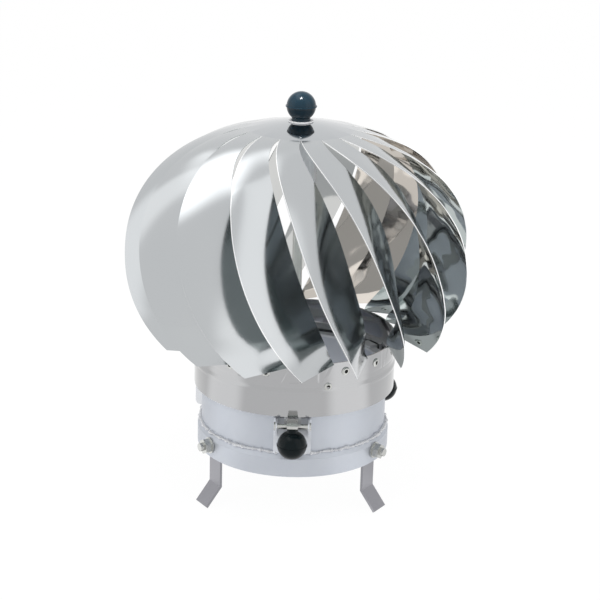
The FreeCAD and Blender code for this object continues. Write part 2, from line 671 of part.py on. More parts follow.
def lower_ring():
    """The skirt that laps the tube, and above its shoulder the ring that the vanes are riveted to."""
    wall = "@SheetThickness"
    shoulder = f"({BASE} + @SkirtTop)"
    neck = f"({BASE} + @SkirtTop + @ShoulderHeight)"
    shell = revolved("ring_shell", [
        (f"{SKIRT_RADIUS} - {wall}", f"{BASE} + @SkirtBottom"),
        (SKIRT_RADIUS, f"{BASE} + @SkirtBottom"),
        (SKIRT_RADIUS, shoulder),
        (RING_RADIUS, neck),
        (RING_RADIUS, f"{BASE} + {RING_TOP}"),
        (f"{RING_RADIUS} - {wall}", f"{BASE} + {RING_TOP}"),
        (f"{RING_RADIUS} - {wall}", neck),
        (f"{SKIRT_RADIUS} - {wall}", shoulder),
    ])
    vane_drills = radial_drills("vane_drills", "@RivetSize / 2", RING_RADIUS, f"{BASE} + {RIVET_HEIGHT}",
                                spaced("@VaneCount", "@VaneStart + @TabLead"))
    skirt_azimuths = spaced("@SkirtRivetCount", "@SkirtRivetAzimuth")
    skirt_drills = radial_drills("skirt_drills", "@RivetSize / 2", RING_RADIUS,
                                 f"{BASE} + @SkirtRivetHeight", skirt_azimuths)
    keep(cut("lower_ring_cut", shell, group("ring_drills", [vane_drills, skirt_drills])), "lower_ring")


# How a vane changes along its length, which runs from 0 at the slot end to 1 at the tip
ROOT_FADE = 0.06
DEPTH_FULL = 0.78
DEPTH_POWER = 1.5
FOOT_START = 0.8
SECTIONS = [0.0, 0.05, 0.12, 0.22, 0.34, 0.47, 0.6, 0.72, 0.82, 0.91, 1.0]
TANGENT_STEP = 0.01
MERIDIAN_STEPS = 240


def head_profile(height):
    """Radius of the head at a height above the foot of the tube."""
    offset = height - value("@HeadMid")
    reach, power = ("@CrownRise", "@CrownPower") if offset >= 0 else (BELLY_DROP, "@BellyPower")
    share = min(1.0, abs(offset) / value(reach))
    return value("@HeadRadius") * (1 - share ** value(power)) ** (1 / value(power))


def polar(radius, azimuth, height):
    angle = math.radians(azimuth)
    return Vector(radius * math.sin(angle), -radius * math.cos(angle), height)


def meridian():
    """Height and radius along the outer edge of a vane, with the length travelled, from slot end to tip."""
    top = value(SLOT_HEIGHT) - value(BASE)
    bottom = value("@VaneTipHeight")
    track = []
    for index in range(MERIDIAN_STEPS + 1):
        height = bottom + (top - bottom) * math.cos(math.pi / 2 * index / MERIDIAN_STEPS)
        radius = head_profile(height)
        step = math.hypot(height - track[-1][0], radius - track[-1][1]) if track else 0.0
        track.append((height, radius, (track[-1][2] if track else 0.0) + step))
    return track


def along(track, share):
    """Height and radius at a share of the length of the track."""
    goal = share * track[-1][2]
    for (low_height, low_radius, low), (high_height, high_radius, high) in zip(track, track[1:]):
        if high >= goal:
            part = (goal - low) / (high - low)
            height = low_height + (high_height - low_height) * part
            return height, low_radius + (high_radius - low_radius) * part
    return track[-1][:2]


def vane_edges(share, track):
    """The points of the outer and inner edges of a vane at a share of its length."""
    base = value(BASE)
    height, radius = along(track, share)
    pitch = 360 / value("@VaneCount")
    azimuth = (value("@VaneStart") + value("@VaneSweep") * share
               + value("@VaneSway") * math.sin(2 * math.pi * share))
    lead = (value("@VaneLead") + (pitch - value("@VaneLead")) * math.exp(-share / ROOT_FADE)
            + value("@VaneFootLead") * share ** 2)
    depth = value("@VaneDepth") * math.sin(math.pi / 2 * min(1.0, share / DEPTH_FULL)) ** DEPTH_POWER
    foot = max(0.0, (share - FOOT_START) / (1 - FOOT_START)) ** 2
    foot_depth = radius - value(RING_RADIUS) - value("@SheetThickness") / 2
    depth += (foot_depth - depth) * foot
    inner_height = height + value("@VaneFootRise") * share ** 4
    return polar(radius, azimuth, base + height), polar(radius - depth, azimuth + lead, base + inner_height)


def radial_pin(radius, start, length, azimuth, height, far_radius=None):
    """A pin or a cone along the radius, at a height above the foot of the tube."""
    foot = polar(start, azimuth, value(BASE) + height)
    outward = polar(1, azimuth, 0)
    if far_radius is None:
        return Part.makeCylinder(radius, length, foot, outward)
    return Part.makeCone(radius, far_radius, length, foot, outward)


def tab_shape():
    """The ear of a vane that lies on the ring: its leading side slants back from the foot of the strip."""
    bottom = value(BASE) + value(RING_TOP) - value("@TabHeight")
    top = value(BASE) + value(RING_TOP)
    before = value("@TabBefore")
    after = value("@TabAfter")
    corners = [(-before, bottom), (value("@TabSlant") - before, top), (after, top), (after, bottom)]
    points = [Vector(0, across, height) for across, height in corners]
    ear = Part.Face(Part.makePolygon(points + points[:1])).extrude(Vector(2 * value(RING_RADIUS), 0, 0))
    ear.rotate(Vector(), Vector(0, 0, 1), value("@VaneStart") + value("@TabLead") - 90)
    return ear.common(Part.makeCylinder(value(RING_RADIUS) + value("@SheetThickness"), top))


def vane_shape():
    """One vane: a twisted strip lofted through thin sections, with the ear that is riveted to the ring."""
    thickness = value("@SheetThickness")
    track = meridian()
    wires = []
    for share in SECTIONS:
        outer, inner = vane_edges(share, track)
        after = vane_edges(min(1.0, share + TANGENT_STEP), track)[0]
        before = vane_edges(max(0.0, share - TANGENT_STEP), track)[0]
        normal = (inner - outer).cross(after - before).normalize()
        middle = (outer + inner) * 0.5
        if normal.dot(Vector(middle.x, middle.y, 0)) > 0:
            normal = normal * -1
        if share == 0.0:
            normal = Vector(0, 0, -1)
        behind = normal * thickness
        wires.append(Part.makePolygon([outer, inner, inner + behind, outer + behind, outer]))
    strip = Part.makeLoft(wires, True, False, False)
    radius = value(RING_RADIUS)
    reach = value("@DrillReach")
    ring = Part.makeCylinder(radius, value(BASE) + value(FOOT_HEIGHT) + reach)
    hole = radial_pin(value("@RivetSize") / 2, radius - reach, 2 * reach,
                      value("@VaneStart") + value("@TabLead"), value(RIVET_HEIGHT))
    return strip.fuse(tab_shape()).cut(ring).cut(hole)


def vanes():
    shape = vane_shape()
    for index, azimuth in enumerate(spaced("@VaneCount", "90"), start=1):
        vane = doc.addObject("Part::Feature", "vane_body_%02d" % index)
        vane.Shape = shape.copy()
        keep(turned_to(vane, azimuth), "vane_%02d" % index)


def rivet_shape(azimuth, height, seat):
    """A rivet set from outside on a face of radius seat and spread on the inside of the ring."""
    inner = value(RING_RADIUS) - value("@SheetThickness") - value("@RivetTailGap")
    tail_height = value("@RivetTailHeight")
    foot = inner - tail_height
    tail = radial_pin(value("@RivetTailRadius"), foot, tail_height, azimuth, height)
    shank = radial_pin(value("@RivetSize") / 2, foot, seat - foot, azimuth, height)
    head = radial_pin(value("@RivetHeadRadius"), seat, value("@RivetHeadHeight"), azimuth, height,
                      value("@RivetCrownRadius"))
    return head.fuse(shank).fuse(tail)


def rivets():
    """A rivet through each ear and the ring, and three blind ones, still hollow, that hold the skirt."""
    seat = value(RING_RADIUS) + value("@SheetThickness")
    azimuths = [value(text) for text in spaced("@VaneCount", "@VaneStart + @TabLead")]
    solid = [rivet_shape(azimuth, value(RIVET_HEIGHT), seat) for azimuth in azimuths]
    hollow = []
    face = value(RING_RADIUS) + value("@RivetHeadHeight")
    for text in spaced("@SkirtRivetCount", "@SkirtRivetAzimuth"):
        blank = rivet_shape(value(text), value("@SkirtRivetHeight"), value(RING_RADIUS))
        hole = radial_pin(value("@MandrelHole") / 2, face - value("@MandrelDepth"), value("@DrillReach"),
                          value(text), value("@SkirtRivetHeight"))
        hollow.append(blank.cut(hole))
    for label, pieces in (("vane_rivets", solid), ("skirt_rivets", hollow)):
        item = doc.addObject("Part::Feature", label + "_set")
        item.Shape = Part.makeCompound(pieces)
        keep(item, label)


base_tube()
base_band()
legs()
leg_fasteners()
hinge()
latch("front", "0", "0")
latch("side", "@LatchAzimuth", "@SideLatchDrop")
spider()
spindle()
bearing_housing()
crown()
top_fittings()
lower_ring()
vanes()
rivets()

doc.recompute()

for item in doc.Objects:
    faults = [state for state in item.State if state in ("Invalid", "Error")]
    if faults:
        raise RuntimeError(f"{item.Name} ({item.Label}): {faults}")
for item in nodes:
    if item.Shape.isNull() or not item.Shape.isValid() or not item.Shape.Solids:
        raise RuntimeError(f"{item.Label}: no valid solid")

os.makedirs("parts", exist_ok=True)
for item in nodes:
    item.Shape.exportStep(f"parts/{item.Label}.step")
    print(f"{item.Label:22s} {len(item.Shape.Solids)} solid(s) {item.Shape.Volume:12.1f} mm3")
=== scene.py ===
"""Rotating chimney cowl: its looks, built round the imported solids.

The curved sheet pieces are made again as fine smooth meshes, because polished steel shows every facet.
Everything is in metres in the frame of the solids, with Z up along the flue and -Y to the front.
"""

import math

import bpy
from mathutils import Matrix, Vector, noise


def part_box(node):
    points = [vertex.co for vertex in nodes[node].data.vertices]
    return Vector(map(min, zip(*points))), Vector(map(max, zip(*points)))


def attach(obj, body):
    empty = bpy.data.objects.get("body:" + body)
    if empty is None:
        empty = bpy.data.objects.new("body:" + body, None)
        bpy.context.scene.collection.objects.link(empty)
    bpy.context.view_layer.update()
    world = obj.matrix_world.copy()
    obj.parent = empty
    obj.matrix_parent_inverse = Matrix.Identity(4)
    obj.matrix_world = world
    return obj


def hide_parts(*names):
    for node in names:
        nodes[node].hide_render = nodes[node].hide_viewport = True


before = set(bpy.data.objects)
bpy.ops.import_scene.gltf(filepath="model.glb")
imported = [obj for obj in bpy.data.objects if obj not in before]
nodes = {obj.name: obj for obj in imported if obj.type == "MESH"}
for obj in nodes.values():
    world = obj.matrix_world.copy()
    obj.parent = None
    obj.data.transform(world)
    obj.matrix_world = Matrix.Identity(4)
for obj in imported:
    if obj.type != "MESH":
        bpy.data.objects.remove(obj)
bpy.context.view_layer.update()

MM = 0.001

# Places that the solids give
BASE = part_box("base_tube")[0].z
SLOT_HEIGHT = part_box("vane_01")[1].z
TOP_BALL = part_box("top_knob")[1].z

# The head, in millimetres, as in the solids
SHEET = 0.8
HEAD_RADIUS = 166.8
HEAD_MID = 192.8
CROWN_RISE = 129.3
CROWN_POWER = 2.23
BELLY_DROP = 132.6
BELLY_POWER = 2.09
RING_RADIUS = 98.0
SKIRT_RADIUS = 98.9
SKIRT_LOW = 63.0
VANE_COUNT = 16
PITCH = 360 / VANE_COUNT
SLOT_END_RADIUS = 50.9
TIP_HEIGHT = 112.0
VANE_START = -44.6
VANE_SWEEP = 47.8
VANE_SWAY = 1.9
VANE_DEPTH = 44.6
VANE_LEAD = 15.5
FOOT_LEAD = 3.8
FOOT_HEIGHT = 114.0
ROOT_FADE = 0.06
DEPTH_FULL = 0.78
DEPTH_POWER = 1.5
EAR_LEAD = 74.2
EAR_BEFORE = 24.0
EAR_AFTER = 12.0
EAR_SLANT = 9.5
EAR_BOTTOM = 97.0
EAR_TOP = 115.5
RIVET_HEIGHT = 106.0
SKIRT_RIVET = 19.3
SKIRT_RIVET_COUNT = 3
SKIRT_RIVET_HEIGHT = 92.5
RIVET_FLANGE = 4.2
WASHER_RADIUS = 12.0
BALL_RADIUS = 14.0
TUBE_RADIUS = 91.3
BAND_TOP = 23.6

# Where the scene differs from the solids or is finer than they are, lengths in millimetres
FOOT_START = 0.86
CAMBER = 2.1
CAMBER_LEAN = 0.4
CAMBER_RISE = 5
CAMBER_FALL = 6
EAR_BEVEL = 0.9
EAR_PROUD = 0.35
SHOULDER_LOW = 88.6
SHOULDER_HIGH = 91.0
BEAD = 0.45
BEAD_START = 3.2
BEAD_FULL = 1.6
DOME_RISE = 7.6
DOME_POWER = 1.6
DOME_RIM_POWER = 6
CROWN_EYE = 4.2
WASHER_HEIGHT = 1.3
NECK_RADIUS = 8.8
NECK_SINK = 0.4
COLLAR_PROUD = 0.5
COLLAR_LOW = 2.1
COLLAR_HIGH = 2.9
SEAM_PROUD = 0.9
SEAM_HALF = 0.7
SEAM_EDGE = ((0.8, 0.6), (1.0, 0.35), (1.0, -0.35), (0.8, -0.6))
SKIRT_RIVET_FLANGE = 3.9
RIVET_RISE = 1.5
RIVET_HOLE = 1.7
WELD_SIZE = 2.2
WELD_DRIFT = 0.9
AXIS_GAP = 0.01


# Node helpers for the materials

def material(name):
    made = bpy.data.materials.new(name)
    made.use_nodes = True
    tree = made.node_tree
    shader = tree.nodes["Principled BSDF"]
    return made, tree, shader


def add(tree, kind, settings=None, **inputs):
    node = tree.nodes.new(kind)
    for key, item in (settings or {}).items():
        setattr(node, key, item)
    for key, item in inputs.items():
        socket = node.inputs[key.replace("_", " ")]
        if isinstance(item, bpy.types.NodeSocket):
            tree.links.new(item, socket)
        else:
            socket.default_value = item
    return node


def object_coords(tree):
    return add(tree, "ShaderNodeTexCoord").outputs["Object"]


def noise_value(tree, vector, scale, detail=3.0, roughness=0.5, distortion=0.0):
    return add(tree, "ShaderNodeTexNoise", Vector=vector, Scale=scale, Detail=detail, Roughness=roughness,
               Distortion=distortion).outputs["Fac"]


def ranged(tree, source, low, high, from_low=0.3, from_high=0.7):
    node = add(tree, "ShaderNodeMapRange", Value=source)
    node.inputs["From Min"].default_value = from_low
    node.inputs["From Max"].default_value = from_high
    node.inputs["To Min"].default_value = low
    node.inputs["To Max"].default_value = high
    return node.outputs["Result"]


def stretched(tree, vector, scale):
    return add(tree, "ShaderNodeMapping", Vector=vector, Scale=scale).outputs["Vector"]


def blended(tree, factor, first, second):
    node = add(tree, "ShaderNodeMix", {"data_type": "RGBA"})
    tree.links.new(factor, node.inputs["Factor"])
    colours = [socket for socket in node.inputs if socket.type == "RGBA"]
    colours[0].default_value = (*first, 1.0)
    colours[1].default_value = (*second, 1.0)
    return [socket for socket in node.outputs if socket.type == "RGBA"][0]


def bump(tree, shader, height, strength, distance):
    node = add(tree, "ShaderNodeBump", Height=height, Strength=strength, Distance=distance)
    tree.links.new(node.outputs["Normal"], shader.inputs["Normal"])


def sheet_steel(name, dark, light, smooth, rough, ripple, grain, relief):
    """Polished sheet: slow changes of tone and polish, a fine grain and the ripples that bending leaves."""
    made, tree, shader = material(name)
    spot = object_coords(tree)
    slow = noise_value(tree, spot, 9.0, detail=2.0)
    fine = noise_value(tree, spot, 420.0, detail=4.0, roughness=0.7)
    tree.links.new(blended(tree, slow, dark, light), shader.inputs["Base Color"])
    tree.links.new(ranged(tree, fine, smooth, rough), shader.inputs["Roughness"])
    shader.inputs["Metallic"].default_value = 1.0
    waves = noise_value(tree, spot, ripple, detail=1.0, distortion=0.6)
    lines = noise_value(tree, stretched(tree, spot, (1.0, 1.0, 0.15)), 900.0, detail=2.0)
    both = add(tree, "ShaderNodeMath", {"operation": "MULTIPLY_ADD"})
    tree.links.new(lines, both.inputs[0])
    both.inputs[1].default_value = grain
    tree.links.new(waves, both.inputs[2])
    bump(tree, shader, both.outputs["Value"], relief, 0.0012)
    return made


def rolled_steel(name, dark, light, smooth, rough, metal=1.0, blotches=28.0):
    """Matt mill finish: blotches of tone, fine grain and a few rubbed places."""
    made, tree, shader = material(name)
    spot = object_coords(tree)
    blotch = noise_value(tree, spot, blotches, detail=5.0, roughness=0.62, distortion=0.4)
    fine = noise_value(tree, spot, 700.0, detail=3.0, roughness=0.7)
    tree.links.new(blended(tree, blotch, dark, light), shader.inputs["Base Color"])
    tree.links.new(ranged(tree, blotch, smooth, rough), shader.inputs["Roughness"])
    shader.inputs["Metallic"].default_value = metal
    bump(tree, shader, fine, 0.25, 0.00025)
    return made


def plastic(name, low, high, smooth, rough, gloss):
    made, tree, shader = material(name)
    spot = object_coords(tree)
    slow = noise_value(tree, spot, 60.0, detail=2.0)
    fine = noise_value(tree, spot, 500.0, detail=3.0)
    tree.links.new(blended(tree, slow, low, high), shader.inputs["Base Color"])
    tree.links.new(ranged(tree, fine, smooth, rough), shader.inputs["Roughness"])
    shader.inputs["Specular IOR Level"].default_value = gloss
    bump(tree, shader, fine, 0.15, 0.0002)
    return made


OUTER_FACE = sheet_steel("outer_face", (0.475, 0.495, 0.51), (0.515, 0.53, 0.54), 0.12, 0.17, 9.0, 0.01, 0.12)
# Painted shade: the inner faces get a darker, greener copy of the steel, which stands in for the shade and
# tinted reflections inside the head. Their finer polish is real.
INNER_FACE_PAINTED_SHADE = sheet_steel("inner_face_painted_shade", (0.44, 0.49, 0.485), (0.50, 0.54, 0.535), 0.045, 0.08, 22.0, 0.01, 0.3)
# Painted light: a lighter copy of the inner steel for the inner faces of vanes 9 to 13.
FAR_FACE_PAINTED_LIGHT = sheet_steel("far_face_painted_light", (0.57, 0.58, 0.57), (0.63, 0.63, 0.62), 0.03, 0.07, 14.0, 0.01, 0.3)
# Painted reflection: a warm-tinted copy of the inner steel on vanes 7 and 8, for a brownish glint inside the
# head.
WARM_PAINTED_REFLECTION = sheet_steel("warm_painted_reflection", (0.51, 0.475, 0.43), (0.57, 0.53, 0.485), 0.05, 0.09, 14.0, 0.01, 0.3)
# Painted highlight: near-white steel for the cut edges of the vanes and for a narrow rim along the outer edge
# of vanes 1 to 8.
EDGE_PAINTED_HIGHLIGHT = sheet_steel("edge_painted_highlight", (0.88, 0.885, 0.89), (0.92, 0.92, 0.92), 0.30, 0.42, 40.0, 0.05, 0.3)
# Painted shade: the crown, the same pressing as the vanes, gets a slightly darker copy of the outer steel to
# tone down its top.
CROWN_FACE_PAINTED_SHADE = sheet_steel("crown_face_painted_shade", (0.46, 0.48, 0.50), (0.50, 0.515, 0.53), 0.07, 0.11, 12.0, 0.01, 0.1)
RING_FACE = sheet_steel("ring_face", (0.38, 0.385, 0.395), (0.43, 0.43, 0.43), 0.06, 0.11, 18.0, 0.02, 0.2)
BASE_SHEET = rolled_steel("base_sheet", (0.45, 0.48, 0.54), (0.57, 0.595, 0.635), 0.36, 0.50, 0.6)
# Weld bead: a mottled tone of its own, with near-white blotches that are painted glints.
WELD_STEEL_PAINTED_GLINTS = rolled_steel("weld_steel_painted_glints", (0.50, 0.52, 0.56), (0.97, 0.97, 0.98), 0.40, 0.60, 0.15, 170.0)
STRAP_STEEL = rolled_steel("strap_steel", (0.25, 0.25, 0.275), (0.34, 0.34, 0.36), 0.36, 0.52)
BRACKET_STEEL = rolled_steel("bracket_steel", (0.60, 0.62, 0.65), (0.72, 0.73, 0.75), 0.42, 0.55, 0.6)
# Painted light: a lighter, less metallic copy of the bracket steel for the latch plates, which lifts them out
# of the shade under the skirt.
PLATE_STEEL_PAINTED_LIGHT = rolled_steel("plate_steel_painted_light", (0.66, 0.69, 0.74), (0.78, 0.80, 0.84), 0.42, 0.56, 0.3)
ZINC = rolled_steel("zinc_plate", (0.42, 0.43, 0.42), (0.60, 0.60, 0.58), 0.18, 0.32)
BRONZE = rolled_steel("bronze", (0.42, 0.27, 0.13), (0.55, 0.37, 0.18), 0.25, 0.40)
BLUE_BLACK_PLASTIC = plastic("blue_black_plastic", (0.002, 0.014, 0.024), (0.005, 0.024, 0.040),
                             0.12, 0.20, 0.26)
BLACK_PLASTIC = plastic("black_plastic", (0.001, 0.004, 0.005), (0.002, 0.007, 0.009), 0.08, 0.15, 0.14)
WHITE_PLASTIC = plastic("white_plastic", (0.70, 0.70, 0.72), (0.80, 0.80, 0.81), 0.40, 0.55, 0.5)
# Painted shade: near-black inside the open ends of the blind rivets.
HOLE_PAINTED_SHADE = rolled_steel("hole_painted_shade", (0.02, 0.02, 0.02), (0.06, 0.06, 0.06), 0.5, 0.7)

NODE_MATERIALS = {
    "base": BASE_SHEET, "leg": STRAP_STEEL, "hinge": BRACKET_STEEL, "latch_plate": PLATE_STEEL_PAINTED_LIGHT,
    "latch_tongue": BRACKET_STEEL, "latch_lever": ZINC, "latch_pin": ZINC, "spider": BRACKET_STEEL,
    "spindle": ZINC, "retaining": ZINC, "bearing": BRACKET_STEEL, "lower_bush": BRONZE, "upper_bush": BRONZE,
    "thrust": ZINC, "crown": CROWN_FACE_PAINTED_SHADE, "top_stud": ZINC, "crown_washer": WHITE_PLASTIC,
    "top_knob": BLACK_PLASTIC, "latch_knob": BLACK_PLASTIC, "lower_ring": RING_FACE, "vane_rivets": ZINC,
    "skirt_rivets": ZINC, "vane": OUTER_FACE, "leg_bolts": ZINC, "leg_washers": ZINC, "leg_nuts": ZINC,
}


def paint_nodes():
    """Give each solid the material of the longest key that its name starts with."""
    for name, node in nodes.items():
        match = max((key for key in NODE_MATERIALS if name.startswith(key)), key=len)
        node.data.materials.clear()
        node.data.materials.append(NODE_MATERIALS[match])


# Mesh helpers

def mesh_piece(name, points, faces, materials, indices=None, sharp=35.0):
    mesh = bpy.data.meshes.new(name)
    mesh.from_pydata([tuple(point) for point in points], [], faces)
    for item in materials:
        mesh.materials.append(item)
    if indices:
        mesh.polygons.foreach_set("material_index", indices)
    mesh.update()
    mesh.shade_smooth()
    mesh.set_sharp_from_angle(angle=math.radians(sharp))
    piece = bpy.data.objects.new(name, mesh)
    bpy.context.scene.collection.objects.link(piece)
    return piece


def place(piece, body, slot, *replaced):
    if replaced:
        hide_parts(*replaced)
    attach(piece, body)
    return piece


def polar(radius, azimuth, height):
    angle = math.radians(azimuth)
    return Vector((radius * math.sin(angle), -radius * math.cos(angle), height))


def rounded(corners, steps=5):
    """Round the corners of a closed outline: each is (radius, height, size of the rounding)."""
    points = []
    count = len(corners)
    for index, (x, z, size) in enumerate(corners):
        here = Vector((x, z))
        if not size:
            points.append(here)
            continue
        before = Vector(corners[index - 1][:2]) - here
        after = Vector(corners[(index + 1) % count][:2]) - here
        reach = min(size, before.length * 0.45, after.length * 0.45)
        start = here + before.normalized() * reach
        end = here + after.normalized() * reach
        for step in range(steps + 1):
            t = step / steps
            points.append(start * (1 - t) ** 2 + here * 2 * t * (1 - t) + end * t ** 2)
    return points


def lathe(name, outline, item, segments=256, closed=True):
    """Turn an outline of (radius, height) points once round the Z axis."""
    points = []
    rows = len(outline)
    for segment in range(segments):
        azimuth = 360 * segment / segments
        points += [polar(radius, azimuth, height) for radius, height in outline]
    faces = []
    spans = rows if closed else rows - 1
    for segment in range(segments):
        here = segment * rows
        there = (segment + 1) % segments * rows
        for row in range(spans):
            after = (row + 1) % rows
            faces.append((here + row, here + after, there + after, there + row))
    return mesh_piece(name, points, faces, [item])


# The head

def head_profile(height):
    offset = height - HEAD_MID
    reach, power = (CROWN_RISE, CROWN_POWER) if offset >= 0 else (BELLY_DROP, BELLY_POWER)
    return HEAD_RADIUS * (1 - min(1.0, abs(offset) / reach) ** power) ** (1 / power)


def meridian(steps=400):
    top = (SLOT_HEIGHT - BASE) / MM
    track = []
    for index in range(steps + 1):
        height = TIP_HEIGHT + (top - TIP_HEIGHT) * math.cos(math.pi / 2 * index / steps)
        radius = head_profile(height)
        step = math.hypot(height - track[-1][0], radius - track[-1][1]) if track else 0.0
        track.append((height, radius, (track[-1][2] if track else 0.0) + step))
    return track


TRACK = meridian()


def along(share):
    goal = share * TRACK[-1][2]
    for (low_height, low_radius, low), (high_height, high_radius, high) in zip(TRACK, TRACK[1:]):
        if high >= goal:
            part = (goal - low) / (high - low)
            height = low_height + (high_height - low_height) * part
            return height, low_radius + (high_radius - low_radius) * part
    return TRACK[-1][:2]


def vane_point(share, across, camber=CAMBER):
    """A point of a vane's outer face, in millimetres above the base.

    across goes from 0 at the outer edge to 1 at the inner one.
    """
    height, radius = along(share)
    azimuth = VANE_START + VANE_SWEEP * share + VANE_SWAY * math.sin(2 * math.pi * share)
    lead = VANE_LEAD + (PITCH - VANE_LEAD) * math.exp(-share / ROOT_FADE) + FOOT_LEAD * share ** 2
    depth = VANE_DEPTH * math.sin(math.pi / 2 * min(1.0, share / DEPTH_FULL)) ** DEPTH_POWER
    foot = max(0.0, (share - FOOT_START) / (1 - FOOT_START)) ** 2
    depth += (radius - RING_RADIUS - SHEET / 2 - depth) * foot
    outer = polar(radius, azimuth, height)
    inner = polar(radius - depth, azimuth + lead, height + (FOOT_HEIGHT - TIP_HEIGHT) * share ** 4)
    point = outer.lerp(inner, across)
    outward = Vector((inner.y - outer.y, outer.x - inner.x, 0)).normalized()
    if outward.dot(point) < 0:
        outward.negate()
    swell = 4 * across * (1 - across) * (1 + CAMBER_LEAN * (1 - 2 * across))
    return point + outward * swell * camber * min(1.0, share * CAMBER_RISE, (1 - share) * CAMBER_FALL)


VANE_ROWS = 110
VANE_COLUMNS = 16
RIM_WIDTH = 0.6
WAVE_HEIGHT = 0.32
WAVE_ROOT_SHARE = 0.1
WAVE_TIP_SHARE = 0.5
WAVE_RISE = 4
WAVE_FALL = 12
WAVE_SIZE = 30.0
NOISE_SPACING = 7.3
STEP_ALONG = 0.004
STEP_ACROSS = 0.05
CRUMPLE_HEIGHT = 0.42
CRUMPLE_SIZE = 17.0
CRUMPLED = {4: 0.8, 5: 1.0, 6: 1.0, 7: 1.0, 8: 0.7}
FLATTER = {16: 0.75}
# Vanes whose outer edge carries a narrow painted-highlight rim
PAINTED_HIGHLIGHT_RIMS = range(1, 9)
# Painted reflection and painted light on chosen inner faces: a warm tint on vanes 7 and 8, lighter steel on
# vanes 9 to 13.
INNER_FACES = {number: WARM_PAINTED_REFLECTION for number in (7, 8)}
INNER_FACES.update({number: FAR_FACE_PAINTED_LIGHT for number in range(9, 14)})
EAR_COLUMNS = 12
EAR_ROWS = 6

# Places of the materials in a vane's list
OUTSIDE = 0
INSIDE = 1
EDGE = 2
EAR = 3


def column_share(column, chord):
    """Where a column of points lies across the vane: the first one marks off the narrow rim that carries a
    painted highlight.
    """
    rim = RIM_WIDTH / max(chord, 10 * RIM_WIDTH)
    return 0.0 if column == 0 else rim + (1 - rim) * (column - 1) / (VANE_COLUMNS - 1)


def vane_grid(number):
    """Rows of points of the outer face and of the inner face, waved as hand-bent sheet is."""
    front, back = [], []
    place_in_noise = Vector((number * NOISE_SPACING, 0, 0))
    crumpled = CRUMPLED.get(number, 0.0)
    size = CRUMPLE_SIZE if crumpled else WAVE_SIZE
    camber = CAMBER * FLATTER.get(number, 1.0)
    for row in range(VANE_ROWS + 1):
        share = row / VANE_ROWS
        chord = (vane_point(share, 1) - vane_point(share, 0)).length
        for column in range(VANE_COLUMNS + 1):
            across = column_share(column, chord)
            point = vane_point(share, across, camber)
            above = vane_point(max(0.0, share - STEP_ALONG), across, camber)
            down = vane_point(min(1.0, share + STEP_ALONG), across, camber) - above
            left = vane_point(share, max(0.0, across - STEP_ACROSS), camber)
            side = vane_point(share, min(1.0, across + STEP_ACROSS), camber) - left
            normal = side.cross(down).normalized()
            if normal.x * point.x + normal.y * point.y < 0:
                normal.negate()
            fade = min(1.0, share * WAVE_RISE, (1 - share) * WAVE_FALL)
            wave = noise.noise(point / size + place_in_noise)
            plain = WAVE_HEIGHT * (WAVE_ROOT_SHARE + WAVE_TIP_SHARE * share ** 4)
            height = CRUMPLE_HEIGHT * crumpled if crumpled else plain
            point += normal * wave * height * fade
            front.append(point)
            back.append(point - normal * SHEET)
    return front, back


def build_vane(number):
    """One vane with a painted highlight on its cut edges and, on the vanes listed, on a narrow rim of the
    outer face, and the ear that is riveted to the ring.
    """
    front, back = vane_grid(number)
    points = [point * MM for point in front + back]
    offset = len(front)
    width = VANE_COLUMNS + 1
    faces, indices = [], []

    def quad(a, b, c, d, index):
        faces.append((a, b, c, d))
        indices.append(index)

    for row in range(VANE_ROWS):
        for column in range(VANE_COLUMNS):
            a = row * width + column
            b = a + offset
            # painted highlight on the narrow rim of the vanes listed
            bright = column == 0 and number in PAINTED_HIGHLIGHT_RIMS
            quad(a, a + width, a + width + 1, a + 1, EDGE if bright else OUTSIDE)
            quad(b, b + 1, b + width + 1, b + width, INSIDE)
        for edge in (0, VANE_COLUMNS):
            a = row * width + edge
            side = (a, a + offset, a + offset + width, a + width)
            quad(*(side if edge == 0 else side[::-1]), EDGE)
    for column in range(VANE_COLUMNS):
        for row in (0, VANE_ROWS):
            a = row * width + column
            side = (a, a + 1, a + offset + 1, a + offset)
            quad(*(side if row == 0 else side[::-1]), EDGE)

    centre = VANE_START + EAR_LEAD
    start = len(points)
    for radius, inset in ((RING_RADIUS + EAR_PROUD, EAR_BEVEL), (RING_RADIUS, 0.0)):
        for row in range(EAR_ROWS + 1):
            rise = row / EAR_ROWS
            left = -EAR_BEFORE + EAR_SLANT * rise + inset
            right = EAR_AFTER - inset
            height = EAR_BOTTOM + inset + (EAR_TOP - EAR_BOTTOM - inset) * rise
            for column in range(EAR_COLUMNS + 1):
                round_ring = left + (right - left) * column / EAR_COLUMNS
                azimuth = centre + math.degrees(round_ring / RING_RADIUS)
                points.append(polar(radius, azimuth, height) * MM)
    width = EAR_COLUMNS + 1
    layer = (EAR_ROWS + 1) * width
    for row in range(EAR_ROWS):
        for column in range(EAR_COLUMNS):
            a = start + row * width + column
            b = a + layer
            quad(a, a + 1, a + width + 1, a + width, EAR)
            quad(b, b + width, b + width + 1, b + 1, INSIDE)
        for edge in (0, EAR_COLUMNS):
            a = start + row * width + edge
            side = (a, a + width, a + width + layer, a + layer)
            quad(*(side if edge == 0 else side[::-1]), EAR)
    for column in range(EAR_COLUMNS):
        for row in (0, EAR_ROWS):
            a = start + row * width + column
            side = (a, a + layer, a + layer + 1, a + 1)
            quad(*(side if row == 0 else side[::-1]), EAR)

    turn = Matrix.Rotation(math.radians((number - 1) * PITCH), 4, "Z") @ Matrix.Translation((0, 0, BASE))
    node = f"vane_{number:02d}"
    piece = mesh_piece(f"{node}_sheet", [turn @ point for point in points], faces,
                       [OUTER_FACE, INNER_FACES.get(number, INNER_FACE_PAINTED_SHADE), EDGE_PAINTED_HIGHLIGHT, RING_FACE], indices)
    return place(piece, "rotor", "head_sheet", node)


